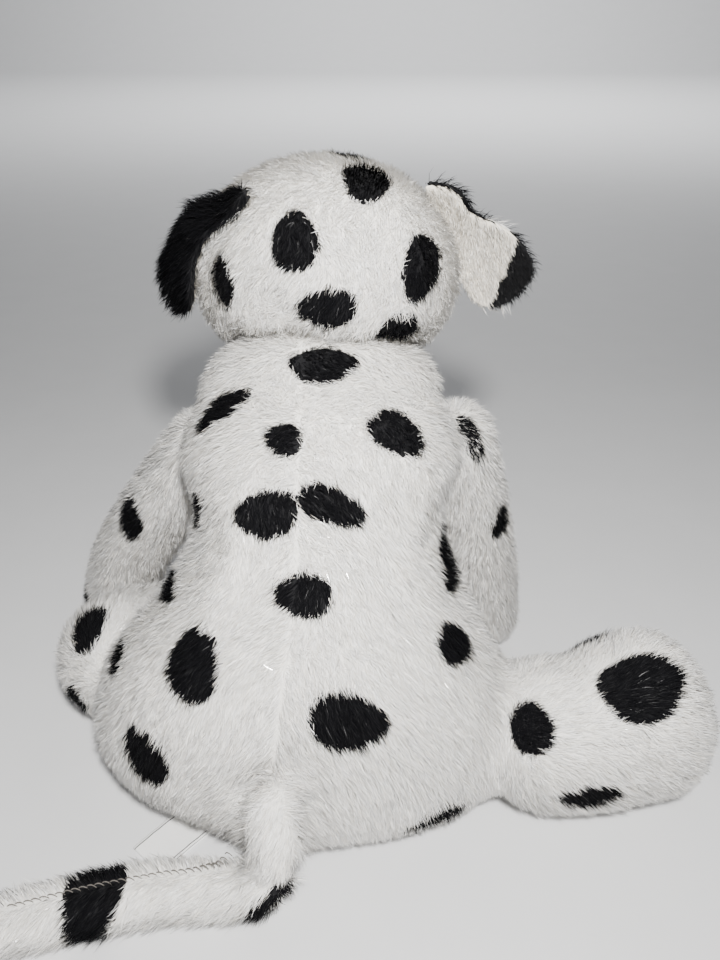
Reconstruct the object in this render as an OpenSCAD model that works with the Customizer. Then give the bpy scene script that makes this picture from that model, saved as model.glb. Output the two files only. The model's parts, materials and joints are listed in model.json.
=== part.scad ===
// Seated plush puppy: sewn pile-fabric skins over loose filling, with soft sewn joints.
// Z is up, the puppy faces +Y, and the origin is on the flat underside of the seat.

/* [Torso] */
// Half width of the hips
hip_r = 78; // [74:1:80]
// Half width of the shoulders
shoulder_r = 50; // [47:1:51]
// Height of the middle of the neck above the seat
neck_z = 130; // [126:1:134]
// How far the neck leans forward of the seat
neck_y = 36; // [32:1:40]
// Radius of the round neck that the head sits on
neck_r = 25; // [23:1:26]

/* [Head] */
// Half width of the head at the cheeks
head_r = 47; // [44:1:48]
// Half height of the head
head_h = 39; // [37:1:40]
// Turn of the head to one side, in degrees
head_turn = -14; // [-18:1:0]
// Downward tilt of the muzzle, in degrees
head_dip = -6; // [-9:1:0]
// Diameter of each eye
eye_d = 13; // [11:0.5:14]

/* [Limbs] */
// Radius of the front legs at the shoulder
arm_r = 15; // [13:0.5:16]
// Radius of the hind legs at the hip
leg_r = 25.5; // [23:0.5:26]
// Radius of the tail near the body
tail_r = 8.5; // [7:0.5:9]

/* [Cloth] */
// Thickness of the pile fabric of the body, its backing and flattened pile together
skin = 1.6; // [1.2:0.1:2]
// Thickness of each layer of an ear
ear_skin = 1.2; // [1:0.1:1.5]
// Free space between the filling and the skin
fill_gap = 0.8; // [0.6:0.1:1]

/* [Hidden] */

white_plush = [0.94, 0.93, 0.91];
black_plush = [0.05, 0.05, 0.05];
cream_pile = [0.88, 0.82, 0.72];
filling = [0.97, 0.97, 0.97];
black_plastic = [0.03, 0.03, 0.03];
satin = [0.96, 0.96, 0.95];

fill_in = skin + fill_gap;     // depth of the filling's surface below the fur side
socket_gap = 2.4;              // room between a limb's round root and its socket
neck_gap = 4;                  // room between the neck and the hollow in the head
pole_r = 1.4;                  // gathered opening where panels meet at a point
cap_rows = 4;                  // rings in each rounded end

// Pivots of the sewn joints
neck = [0, neck_y, neck_z];
arm_left = [-44, 46, 106];
arm_right = [49, 44, 110];
leg_left = [-80, 22, 25];
leg_right = [80, -20, 26.5];
tail_root = [-13, -61, 38];
head_c = [2.5, 67, 167];

// Each path lists [x, y, z, half width, half height] through its shape
torso_path = [
    [-4, -9, 29, hip_r, 48], [-3, -7, 46, hip_r - 5, 46], [-1, 2, 70, 57, 41], [0, 14, 95, 46, 37],
    [0, neck_y - 11, neck_z - 15, shoulder_r, 33], [0, neck_y, neck_z, 43, neck_r]
];
head_path = [
    [0, -7, 0, head_r, head_h], [0, 8, -1, head_r - 1, head_h - 1], [0, 22, -5, 38, 32],
    [0, 36, -10, 26.5, 22.5], [0, 48, -12, 21, 18], [0, 57, -12.5, 19, 16.5]
];
arm_left_path = [
    [arm_left.x, arm_left.y, arm_left.z, arm_r, arm_r], [-61, 54, 82, 15.5, 15.5],
    [-77, 63, 57, 16, 16], [-89, 71, 35, 16, 16.5], [-94, 76, 16, 17, 17]
];
arm_right_path = [
    [arm_right.x, arm_right.y, arm_right.z, arm_r, arm_r], [56, 50, 82, 15.5, 15.5],
    [62, 56, 52, 16, 16], [65, 60, 31, 16.5, 16.5], [66, 63, 15, 17.5, 17]
];
leg_left_path = [
    [leg_left.x, leg_left.y, leg_left.z, leg_r, leg_r], [-75, 38, 22, 20.5, 22],
    [-66, 52, 18, 16.5, 17.5], [-57, 64, 18, 16.5, 18.5], [-47, 76, 23, 18, 24]
];
leg_right_path = [
    [leg_right.x, leg_right.y, leg_right.z, leg_r + 1.5, leg_r + 1.5], [92, -20, 27, 27, 27.5],
    [104, -17, 29.5, 28, 30], [114, -15, 31, 28, 31.5]
];
tail_path = [
    [tail_root.x, tail_root.y, tail_root.z, tail_r, tail_r], [-12, -68, 26, 8.5, 8.5],
    [-16, -70, 14, 9, 8.5], [-29, -69, 9, 9.5, 8.5], [-48, -69, 8.4, 10, 8.5],
    [-72, -74, 8.4, 10, 8.5], [-93, -80, 8.4, 9, 8.5]
];

function unit(v) = v / norm(v);
function first3(v) = [v.x, v.y, v.z];

// Smooth curve through a list of points, u from 0 to len - 1
function key(path, i) = path[max(0, min(len(path) - 1, i))];
function curve(path, u) =
    let (i = max(0, min(len(path) - 2, floor(u))), t = u - i,
        a = key(path, i - 1), b = key(path, i), c = key(path, i + 1), d = key(path, i + 2))
    b + 0.5 * t * (c - a + t * (2 * a - 5 * b + 4 * c - d + t * (3 * b - a - 3 * c + d)));
function heading(path, u) = unit(first3(curve(path, u + 0.02)) - first3(curve(path, u - 0.02)));

// A ring is [centre, direction, half width, half height]
function ring(path, u, depth) =
    let (q = curve(path, u)) [first3(q), heading(path, u), q[3] - depth, q[4] - depth];

// Rounded end: side is -1 at the root and 1 at the tip, k is 1 at its outermost ring
function end_ring(path, side, length, power, k, depth) =
    let (u = side < 0 ? 0 : len(path) - 1, q = key(path, u), d = heading(path, u), a = 90 * pow(k, 1.5))
    [
        first3(q) + d * side * (length - depth) * pow(sin(a), 2 / power), d,
        max(pole_r, (q[3] - depth) * pow(cos(a), 2 / power)),
        max(pole_r, (q[4] - depth) * pow(cos(a), 2 / power))
    ];

// All rings of a closed soft shape: ends is [root length, root power, tip length, tip power]
function rings(path, rows, ends, depth) = concat(
    [for (k = [cap_rows:-1:1]) end_ring(path, -1, ends[0], ends[1], k / cap_rows, depth)],
    [for (i = [0:rows]) ring(path, i * (len(path) - 1) / rows, depth)],
    [for (k = [1:cap_rows]) end_ring(path, 1, ends[2], ends[3], k / cap_rows, depth)]
);

// Point of a ring at an angle; ref is the direction that the ring's height leans to
function on_ring(r, angle, ref) =
    let (side = unit(cross(r[1], ref)), up = cross(side, r[1]))
    r[0] + side * r[2] * cos(angle) + up * r[3] * sin(angle);

// A socket is [centre, radius, direction into the host, stretch along X]. A point inside
// the socket moves out to its wall, away from the socket's open side.
function dent(p, sockets, depth, i = 0) =
    i >= len(sockets) ? p :
    let (s = sockets[i], k = s[3], r = s[1] + depth, n = s[2],
        v = [(p.x - s[0].x) / k, p.y - s[0].y, p.z - s[0].z],
        d = unit(v + n * r), w = -n * r, b = w * d)
    dent(norm(v) >= r ? p : [for (j = [0:2]) s[0][j] + (w - 2 * b * d)[j] * (j == 0 ? k : 1)],
        sockets, depth, i + 1);
function rest_on_floor(p, floor_z) = [p.x, p.y, max(p.z, floor_z)];

// Skin panel between two seam angles; lo and hi give the seam's angle for each ring.
// open is a list of [row, column] cells that are left open for a shank.
function quad(a, b, c, d) = [[a, b, c], [a, c, d]];
function flat(lists) = [for (l = lists) for (x = l) x];
module panel(outer, inner, cols, open = []) {
    rows = len(outer) - 1;
    n = (rows + 1) * (cols + 1);
    function at(i, j) = i * (cols + 1) + j;
    function is_open(i, j) = len([for (o = open) if (o == [i, j]) 1]) > 0;
    faces = flat([
        flat([for (i = [0:rows - 1]) for (j = [0:cols - 1])
            let (a = at(i, j), b = at(i, j + 1), c = at(i + 1, j + 1), d = at(i + 1, j))
            is_open(i, j)
                ? flat([quad(a, b, n + b, n + a), quad(b, c, n + c, n + b),
                    quad(c, d, n + d, n + c), quad(d, a, n + a, n + d)])
                : concat(quad(a, b, c, d), quad(n + a, n + d, n + c, n + b))]),
        flat([for (i = [0:rows - 1]) let (a = at(i, 0), d = at(i + 1, 0)) quad(a, d, n + d, n + a)]),
        flat([for (i = [0:rows - 1]) let (b = at(i, cols), c = at(i + 1, cols)) quad(b, n + b, n + c, c)]),
        flat([for (j = [0:cols - 1]) let (a = at(0, j), b = at(0, j + 1)) quad(b, a, n + a, n + b)]),
        flat([for (j = [0:cols - 1]) let (d = at(rows, j), c = at(rows, j + 1)) quad(d, c, n + c, n + d)])
    ]);
    polyhedron(concat(flat(outer), flat(inner)), faces);
}

// Closed filling: grid of points around the rings, with a flat fan over each end
module filled(grid) {
    rows = len(grid) - 1;
    cols = len(grid[0]);
    function at(i, j) = i * cols + j % cols;
    faces = flat([
        flat([for (i = [0:rows - 1]) for (j = [0:cols - 1])
            quad(at(i, j), at(i, j + 1), at(i + 1, j + 1), at(i + 1, j))]),
        [for (j = [1:cols - 2]) [at(0, 0), at(0, j + 1), at(0, j)]],
        [for (j = [1:cols - 2]) [at(rows, 0), at(rows, j), at(rows, j + 1)]]
    ]);
    polyhedron(flat(grid), faces);
}

// ---- Torso ----
torso_rows = 14;
hollow = 4;         // how much wider the filling's own hollows are than the skin's
torso_ends = [33, 3.4, neck_r, 2.6];
torso_sockets = [
    [arm_left, arm_r + socket_gap, unit([0.8, -0.6, 0]), 1],
    [arm_right, arm_r + socket_gap, unit([-0.8, -0.6, 0]), 1],
    [leg_left, leg_r + socket_gap, unit([1, -0.3, 0.1]), 1],
    [leg_right, leg_r + 1.5 + socket_gap, unit([-1, 0.2, 0.1]), 1],
    [tail_root, tail_r + 2 * socket_gap, unit([0, 1, 0.2]), 1]
];
function torso_point(r, angle, depth) =
    rest_on_floor(dent(on_ring(r, angle, [0, -1, 0]), torso_sockets,
        depth > skin ? depth + hollow : depth), depth);
function torso_grid(lo, hi, cols, depth) = [for (r = rings(torso_path, torso_rows, torso_ends, depth))
    [for (j = [0:cols]) torso_point(r, lo + (hi - lo) * j / cols, depth)]];
module torso_panel(lo, hi, cols) {
    panel(torso_grid(lo, hi, cols, 0), torso_grid(lo, hi, cols, skin), cols);
}
side_seam = 40;     // how far the side seams sit forward of the flanks, in degrees
module back_panel_right() color(white_plush) torso_panel(-side_seam, 90, 15);
module back_panel_left() color(white_plush) torso_panel(90, 180 + side_seam, 15);
module belly_panel() color(white_plush) torso_panel(180 + side_seam, 360 - side_seam, 13);

pouch_top = 9;      // last ring of the pellet pouch
module torso_fill(from, to, depth) {
    all = rings(torso_path, torso_rows, torso_ends, depth);
    filled([for (i = [from:to]) [for (j = [0:23]) torso_point(all[i], j * 15, depth)]]);
}
module torso_stuffing() color(filling) torso_fill(pouch_top + 1, torso_rows + 2 * cap_rows, fill_in);
module pellet_pouch() color(filling) torso_fill(0, pouch_top, fill_in);

// ---- Head, built around its own middle and then turned into place ----
head_rows = 12;
head_ends = [37, 2.1, 12, 2.4];
neck_stretch = 43 / neck_r;     // the neck is wider than it is deep
module on_head() translate(head_c) rotate([head_dip, 0, head_turn]) children();
// World point in the head's own axes
function turn_x(p, a) = [p.x, p.y * cos(a) - p.z * sin(a), p.y * sin(a) + p.z * cos(a)];
function turn_z(p, a) = [p.x * cos(a) - p.y * sin(a), p.x * sin(a) + p.y * cos(a), p.z];
function to_head(p) = turn_x(turn_z(p - head_c, -head_turn), -head_dip);
function from_head(p) = turn_z(turn_x(p, head_dip), head_turn) + head_c;
neck_socket = [neck, neck_r + neck_gap, unit([0, 0.55, 0.85]), neck_stretch];
function head_point(r, angle, depth) =
    to_head(dent(from_head(on_ring(r, angle, [0, 0, 1])), [neck_socket], depth));
head_last = head_rows + 2 * cap_rows;   // number of the ring around the nose
function head_grid(lo, hi, cols, depth, from = 0, to = head_last) =
    let (all = rings(head_path, head_rows, head_ends, depth)) [for (i = [from:to])
        [for (j = [0:cols]) head_point(all[i], lo(i) + (hi(i) - lo(i)) * j / cols, depth)]];
module head_panel(lo, hi, cols, from = 0, to = head_last, open = []) {
    on_head() panel(head_grid(lo, hi, cols, 0, from, to), head_grid(lo, hi, cols, skin, from, to),
        cols, open);
}
// The gusset is a long pointed strip from the nose over the crown; the chin panel is one
// below it that ends at the throat
gusset_start = cap_rows - 1;
chin_start = cap_rows + 6;
function gusset_half(i) =
    i < gusset_start ? 0 : max(0.6, 17 * sin(min(90, (i - gusset_start) * 14)));
function chin_half(i) =
    i < chin_start ? 0 : max(0.6, 34 * sin(min(90, (i - chin_start) * 30)));
eye_cell = [cap_rows + 7, 9];   // ring and column of the opening for an eye's shank
side_cols = 13;
module head_side_left() color(white_plush)
    head_panel(function (i) 90 + gusset_half(i), function (i) 270 - chin_half(i), side_cols,
        open = [[eye_cell[0], side_cols - 1 - eye_cell[1]]]);
module head_side_right() color(white_plush)
    head_panel(function (i) chin_half(i) - 90, function (i) 90 - gusset_half(i), side_cols,
        open = [eye_cell]);
module head_gusset() color(white_plush)
    head_panel(function (i) 90 - gusset_half(i), function (i) 90 + gusset_half(i), 4,
        from = gusset_start);
module chin_panel() color(white_plush)
    head_panel(function (i) -90 - chin_half(i), function (i) -90 + chin_half(i), 6,
        from = chin_start);
eye_ring = eye_cell[0] + 0.5;
function eye_angle(side) =
    let (lo = chin_half(eye_cell[0]) - 90, hi = 90 - gusset_half(eye_cell[0]))
    let (a = lo + (hi - lo) * (eye_cell[1] + 0.5) / side_cols) side > 0 ? a : 180 - a;
head_rings = rings(head_path, head_rows, head_ends, 0);
function head_at(i, angle) = let (a = floor(i), t = i - a)
    on_ring(head_rings[a], angle, [0, 0, 1]) * (1 - t) + on_ring(head_rings[a + 1], angle, [0, 0, 1]) * t;
function eye_spot(side) = head_at(eye_ring, eye_angle(side));
function eye_normal(side) = let (a = eye_angle(side))
    unit(cross(head_at(eye_ring + 1, a) - head_at(eye_ring - 1, a),
        head_at(eye_ring, a + 12) - head_at(eye_ring, a - 12)));
washer_depth = skin + 1.2;  // from the fur side to the washer that holds an eye
shank_r = 1.2;
module facing(n) rotate([0, acos(n.z), atan2(n.y, n.x)]) children();
module at_eye(side) on_head() translate(eye_spot(side)) facing(eye_normal(side)) children();
module washer(r) difference() {
    cylinder(h = 1.2, r = r, $fn = 48);
    translate([0, 0, -1]) cylinder(h = 4, r = shank_r, $fn = 48);
}
module safety_eye() {
    bulge = eye_d * 0.56;   // radius of the ball that the dome is cut from
    translate([0, 0, 0.9]) intersection() {
        translate([0, 0, 4.2 - bulge]) sphere(r = bulge, $fn = 64);
        cylinder(h = 6, r = eye_d / 2, $fn = 64);
    }
    translate([0, 0, -6.4]) cylinder(h = 7.4, r = shank_r, $fn = 48);
}
module eye_left() color(black_plastic) at_eye(-1) safety_eye();
module eye_right() color(black_plastic) at_eye(1) safety_eye();
module eye_washer_left() color(filling) at_eye(-1) translate([0, 0, -washer_depth - 1.2]) washer(5.5);
module eye_washer_right() color(filling) at_eye(1) translate([0, 0, -washer_depth - 1.2]) washer(5.5);

// Nose: a rounded triangular button on a shank through the gathered muzzle end
nose_dir = heading(head_path, len(head_path) - 1);
nose_spot = first3(head_path[len(head_path) - 1]) + nose_dir * head_ends[2];
module at_nose() on_head() translate(nose_spot) rotate([-90 + asin(nose_dir.z), 0, 0]) children();
module nose() color(black_plastic) at_nose() {
        hull() {
            for (x = [-1, 1]) translate([x * 5, -3.2, 0.3]) cylinder(h = 1, r = 3.4, $fn = 24);
            translate([0, 3, 0.3]) cylinder(h = 1, r = 3, $fn = 24);
            for (x = [-1, 1]) translate([x * 4.2, -2.6, 3]) sphere(r = 2.4, $fn = 16);
            translate([0, 1.6, 2.6]) sphere(r = 2, $fn = 16);
        }
        translate([0, 0, -7]) cylinder(h = 7.3, r = nose_shank_r, $fn = 48);
}
nose_shank_r = 1.2;
module nose_washer() color(filling) at_nose() translate([0, 0, -skin - 2.6]) difference() {
    cylinder(h = 1.2, r = 5, $fn = 48);
    translate([0, 0, -1]) cylinder(h = 4, r = nose_shank_r, $fn = 48);
}

module head_stuffing() color(filling) {
    pockets = [
        [from_head(eye_spot(-1)), 9.6, unit(head_c - from_head(eye_spot(-1))), 1],
        [from_head(eye_spot(1)), 9.6, unit(head_c - from_head(eye_spot(1))), 1],
        [from_head(nose_spot), 9.6, unit(head_c - from_head(nose_spot)), 1]
    ];
    all = rings(head_path, head_rows, head_ends, fill_in);
    on_head() filled([for (r = all) [for (j = [0:19])
        to_head(dent(dent(from_head(on_ring(r, j * 18, [0, 0, 1])), [neck_socket], fill_in),
            pockets, 0))]]);
}

// Thread laid along a list of points, as a thin tube
module thread(points, r) {
    last = len(points) - 1;
    filled([for (i = [0:last])
        let (d = unit(points[min(last, i + 1)] - points[max(0, i - 1)]),
            ring_i = [points[i], d, r, r])
        [for (j = [0:5]) on_ring(ring_i, j * 60, [0.1, 0.7, 0.7])]]);
}
function muzzle_at(k, angle) =
    on_ring(end_ring(head_path, 1, head_ends[2], head_ends[3], k, -stitch_r - 0.25), angle, [0, 0, 1]);
stitch_r = 0.6;
module mouth_stitches() color(black_plush) on_head() {
    thread([for (i = [0:4]) muzzle_at(0.62 - 0.07 * i, -90)], stitch_r);
    for (s = [-1, 1])
        thread([for (i = [0:7]) muzzle_at(0.27 - 0.13 * sin(i * 18), -90 + s * (4 + 7 * i))], stitch_r);
}

// ---- Ears: an outer fur leaf and a short-pile lining, sewn together round the edge ----
// Spine points are [x, y, z, half width, width direction x, y, z] in the head's axes
ear_left_spine = [
    [-22.8, -28.6, 30.8, 9.7, -0.49, 0.87, 0], [-34.1, -25.6, 21.5, 12.4, -0.58, 0.81, 0],
    [-43.8, -20.9, 10.5, 14.2, -0.63, 0.77, -0.07], [-49.3, -20.3, -1, 15.2, -0.69, 0.71, -0.11],
    [-46.6, -22.8, -14, 12.3, -0.73, 0.67, -0.16]
];
ear_right_spine = [
    [40.2, -0.6, 26.9, 12.2, 0.21, 0.75, -0.63], [47.6, 2, 17.6, 17.2, 0.08, 0.56, -0.83],
    [52.2, 5, 7, 19.4, 0, 0.48, -0.88], [61.8, 7.7, 3, 16.4, -0.05, 0.45, -0.89],
    [71.2, 11.4, 2.2, 10.8, -0.11, 0.6, -0.79]
];
ear_rows = 10;
ear_cols = 6;
ear_cup = 3;    // how far the middle of an ear bows out
function ear_point(spine, i, t, side, lift) =
    let (s = i / ear_rows, u = s * (len(spine) - 1), q = curve(spine, u), d = heading(spine, u),
        w = unit([q[4], q[5], q[6]]), n = unit(cross(d, w)) * side,
        round = sqrt(1 - 0.93 * pow(max(0, s - 0.7) / 0.3, 2)))
    first3(q) + w * t * q[3] * round + n * (ear_cup * (1 - t * t) * sin(180 * min(1, s + 0.1)) + lift);
module ear_layer(spine, side, top, bottom) {
    function grid(lift) = [for (i = [0:ear_rows])
        [for (j = [0:ear_cols]) ear_point(spine, i, side * (2 * j / ear_cols - 1), side, lift)]];
    on_head() panel(grid(top), grid(bottom), ear_cols);
}
module ear_left_outer() color(black_plush) ear_layer(ear_left_spine, -1, ear_skin, 0);
module ear_left_lining() color(cream_pile) ear_layer(ear_left_spine, -1, 0, -ear_skin);
module ear_right_outer() color(white_plush) ear_layer(ear_right_spine, 1, ear_skin, 0);
module ear_right_lining() color(cream_pile) ear_layer(ear_right_spine, 1, 0, -ear_skin);

// ---- Legs: two fabric halves round a filled core, with a ball-shaped root ----
limb_cols = 8;
module limb_half(path, rows, ends, ref, from, to) {
    function grid(depth) = [for (r = rings(path, rows, ends, depth))
        [for (j = [0:limb_cols]) rest_on_floor(on_ring(r, from + (to - from) * j / limb_cols, ref), depth)]];
    panel(grid(0), grid(skin), limb_cols);
}
module limb_fill(path, rows, ends, ref) {
    filled([for (r = rings(path, rows, ends, fill_in))
        [for (j = [0:11]) rest_on_floor(on_ring(r, j * 30, ref), fill_in)]]);
}
arm_rows = 7;
arm_ends = [arm_r, 2, 14, 2.3];
forward = [0, 1, 0];
module arm_half(path, from, to) color(white_plush) limb_half(path, arm_rows, arm_ends, forward, from, to);
module arm_fill(path) color(filling) limb_fill(path, arm_rows, arm_ends, forward);
module front_leg_left_outer() arm_half(arm_left_path, 90, 270);
module front_leg_left_inner() arm_half(arm_left_path, -90, 90);
module front_leg_left_stuffing() arm_fill(arm_left_path);
module front_leg_right_outer() arm_half(arm_right_path, -90, 90);
module front_leg_right_inner() arm_half(arm_right_path, 90, 270);
module front_leg_right_stuffing() arm_fill(arm_right_path);

leg_rows = 6;
leg_left_ends = [leg_r, 2, 14, 2.3];
leg_right_ends = [leg_r + 1.5, 2, 22, 2.3];
upward = [0, 0, 1];
module leg_half(path, ends, from) color(white_plush)
    limb_half(path, leg_rows, ends, upward, from, from + 180);
module leg_fill(path, ends) color(filling) limb_fill(path, leg_rows, ends, upward);
module hind_leg_left_upper() leg_half(leg_left_path, leg_left_ends, 0);
module hind_leg_left_lower() leg_half(leg_left_path, leg_left_ends, 180);
module hind_leg_left_stuffing() leg_fill(leg_left_path, leg_left_ends);
module hind_leg_right_upper() leg_half(leg_right_path, leg_right_ends, 0);
module hind_leg_right_lower() leg_half(leg_right_path, leg_right_ends, 180);
module hind_leg_right_stuffing() leg_fill(leg_right_path, leg_right_ends);

// ---- Tail: one strip wrapped round its filling, with the seam along its top ----
tail_rows = 15;
tail_cols = 14;
tail_ends = [tail_r, 2, 9, 2.2];
tail_seam = 2;      // opening of the seam, in degrees
tail_ref = [0.3, 0.2, 0.93];
module tail_skin() {
    function grid(depth) = [for (r = rings(tail_path, tail_rows, tail_ends, depth))
        [for (j = [0:tail_cols])
            on_ring(r, 90 + tail_seam / 2 + (360 - tail_seam) * j / tail_cols, tail_ref)]];
    color(white_plush) panel(grid(0), grid(skin), tail_cols);
}
module tail_stuffing() color(filling) {
    filled([for (r = rings(tail_path, tail_rows, tail_ends, fill_in))
        [for (j = [0:9]) on_ring(r, j * 36, tail_ref)]]);
}

// ---- Care label: folded woven ribbon that lies on the surface beside the tail ----
label_root = [-41, -33.4, 0.2];
label_turn = 229;   // direction that the label points, in degrees
label_l = 26;
label_w = 15;
label_t = 0.7;
module care_label() color(satin) translate(label_root) rotate([0, 0, label_turn])
    translate([0, -label_w / 2, 0]) cube([label_l, label_w, label_t]);

back_panel_left();
back_panel_right();
belly_panel();
torso_stuffing();
pellet_pouch();
head_side_left();
head_side_right();
head_gusset();
chin_panel();
head_stuffing();
eye_left();
eye_right();
eye_washer_left();
eye_washer_right();
nose();
nose_washer();
mouth_stitches();
ear_left_outer();
ear_left_lining();
ear_right_outer();
ear_right_lining();
front_leg_left_outer();
front_leg_left_inner();
front_leg_left_stuffing();
front_leg_right_outer();
front_leg_right_inner();
front_leg_right_stuffing();
hind_leg_left_upper();
hind_leg_left_lower();
hind_leg_left_stuffing();
hind_leg_right_upper();
hind_leg_right_lower();
hind_leg_right_stuffing();
tail_skin();
tail_stuffing();
care_label();
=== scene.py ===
"""Visual model of a seated plush puppy: sewn skins swollen by their filling, with a real standing pile."""

import json
import math

import bpy
import numpy as np
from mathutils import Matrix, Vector
from mathutils.bvhtree import BVHTree
from mathutils.kdtree import KDTree

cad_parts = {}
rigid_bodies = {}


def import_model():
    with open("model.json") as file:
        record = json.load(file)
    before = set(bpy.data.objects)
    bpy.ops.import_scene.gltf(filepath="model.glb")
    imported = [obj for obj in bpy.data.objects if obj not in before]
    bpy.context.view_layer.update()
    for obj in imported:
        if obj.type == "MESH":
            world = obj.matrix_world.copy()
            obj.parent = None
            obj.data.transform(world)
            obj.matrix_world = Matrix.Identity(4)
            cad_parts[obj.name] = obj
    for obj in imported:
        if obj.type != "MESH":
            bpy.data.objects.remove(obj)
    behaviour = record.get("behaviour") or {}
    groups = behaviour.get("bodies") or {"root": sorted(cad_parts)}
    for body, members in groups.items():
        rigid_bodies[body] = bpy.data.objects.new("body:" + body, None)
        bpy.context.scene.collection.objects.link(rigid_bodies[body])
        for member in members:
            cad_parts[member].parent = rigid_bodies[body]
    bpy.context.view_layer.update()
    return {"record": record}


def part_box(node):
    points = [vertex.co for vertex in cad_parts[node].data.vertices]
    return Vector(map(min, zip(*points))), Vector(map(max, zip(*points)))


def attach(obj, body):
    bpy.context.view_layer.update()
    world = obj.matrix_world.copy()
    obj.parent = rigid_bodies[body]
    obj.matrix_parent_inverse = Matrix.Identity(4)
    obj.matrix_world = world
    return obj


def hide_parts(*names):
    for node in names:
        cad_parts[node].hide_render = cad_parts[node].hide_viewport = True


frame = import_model()
MM = 0.001  # one millimetre in metres; places and sizes below are in millimetres
record = frame["record"]
joints = {j["name"]: j for j in record["behaviour"]["joints"]}


def pivot(joint):
    """A joint's place, in millimetres."""
    return np.array(joints[joint]["pos_m"]) / MM


def node_box(node):
    """A CAD node's lowest and highest corner, in millimetres."""
    return np.array([list(corner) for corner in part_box(node)]) / MM


TAIL = pivot("tail_wag")
ARM_L, ARM_R = pivot("front_leg_left_swing"), pivot("front_leg_right_swing")
LEG_L, LEG_R = pivot("hind_leg_left_splay"), pivot("hind_leg_right_splay")

# ---------------------------------------------------------------- camera, light and stage
camera = bpy.data.objects.new("camera", bpy.data.cameras.new("camera"))
camera.data.lens = 32
camera.location = (0.0137, -0.237, 0.2549)
camera.rotation_euler = (math.radians(60), 0, 0)
bpy.context.scene.collection.objects.link(camera)
bpy.context.scene.camera = camera


def area_light(name, place, target, size, power, colour=(1, 1, 1)):
    """A round lamp at a place, turned towards its target. Places and size are in metres."""
    light = bpy.data.lights.new(name, "AREA")
    light.shape, light.size, light.energy, light.color = "DISK", size, power, colour
    lamp = bpy.data.objects.new(name, light)
    lamp.location = place
    lamp.rotation_euler = (Vector(target) - Vector(place)).to_track_quat("-Z", "Y").to_euler()
    bpy.context.scene.collection.objects.link(lamp)


# A small key from above the camera, and large lamps beyond the puppy for the backdrop and its face
area_light("key", (0.04, -0.272, 0.368), (0, 0.05, 0.11), 0.04, 4.6, (1, 0.985, 0.96))
area_light("background", (0.25, 1.8, 1.5), (0.2, 3.0, 0.35), 1.2, 62.0)
area_light("face_side", (0.10, 0.75, 0.60), (0, 0.05, 0.12), 0.4, 1.2)
world = bpy.data.worlds.new("world")
world.use_nodes = True
world.node_tree.nodes["Background"].inputs["Color"].default_value = (0.95, 0.97, 1, 1)
world.node_tree.nodes["Background"].inputs["Strength"].default_value = 0.15
bpy.context.scene.world = world


# ---------------------------------------------------------------- materials
def new_material(name):
    """A material, its node tree and its shader."""
    made = bpy.data.materials.new(name)
    made.use_nodes = True
    return made, made.node_tree, made.node_tree.nodes["Principled BSDF"]


def set_inputs(shader, **values):
    """Sets constant values on the shader's own sockets; an underscore stands for a space."""
    for key, value in values.items():
        shader.inputs[key.replace("_", " ")].default_value = value


def noise_node(tree, scale, detail=4.0, roughness=0.6):
    """Noise in the object's own coordinates."""
    where = tree.nodes.new("ShaderNodeTexCoord")
    node = tree.nodes.new("ShaderNodeTexNoise")
    node.inputs["Scale"].default_value = scale
    node.inputs["Detail"].default_value = detail
    node.inputs["Roughness"].default_value = roughness
    tree.links.new(where.outputs["Object"], node.inputs["Vector"])
    return node


def ramp_node(tree, factor, stops):
    """Colours by a factor; stops are (place, colour) pairs."""
    node = tree.nodes.new("ShaderNodeValToRGB")
    while len(node.color_ramp.elements) < len(stops):
        node.color_ramp.elements.new(0.5)
    for element, (place, colour) in zip(node.color_ramp.elements, stops):
        element.position, element.color = place, (*colour, 1)
    tree.links.new(factor, node.inputs["Fac"])
    return node


def bump_from(tree, shader, height, strength, distance):
    """Fine relief on a shader; distance is in metres."""
    node = tree.nodes.new("ShaderNodeBump")
    node.inputs["Strength"].default_value = strength
    node.inputs["Distance"].default_value = distance
    tree.links.new(height, node.inputs["Height"])
    tree.links.new(node.outputs["Normal"], shader.inputs["Normal"])


def mottled(name, low, high, scale, roughness, bump, **values):
    """A material whose colour, roughness and relief all vary with one fine noise."""
    made, tree, shader = new_material(name)
    grain = noise_node(tree, scale)
    colours = ramp_node(tree, grain.outputs["Fac"], [(0.3, low), (0.7, high)])
    tree.links.new(colours.outputs["Color"], shader.inputs["Base Color"])
    rough = tree.nodes.new("ShaderNodeMapRange")
    rough.inputs["To Min"].default_value = roughness - 0.06
    rough.inputs["To Max"].default_value = roughness + 0.06
    tree.links.new(grain.outputs["Fac"], rough.inputs["Value"])
    tree.links.new(rough.outputs["Result"], shader.inputs["Roughness"])
    bump_from(tree, shader, grain.outputs["Fac"], bump, 0.001)
    set_inputs(shader, **values)
    return made


WHITE, BLACK = (0.86, 0.845, 0.81), (0.005, 0.005, 0.006)


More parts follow.
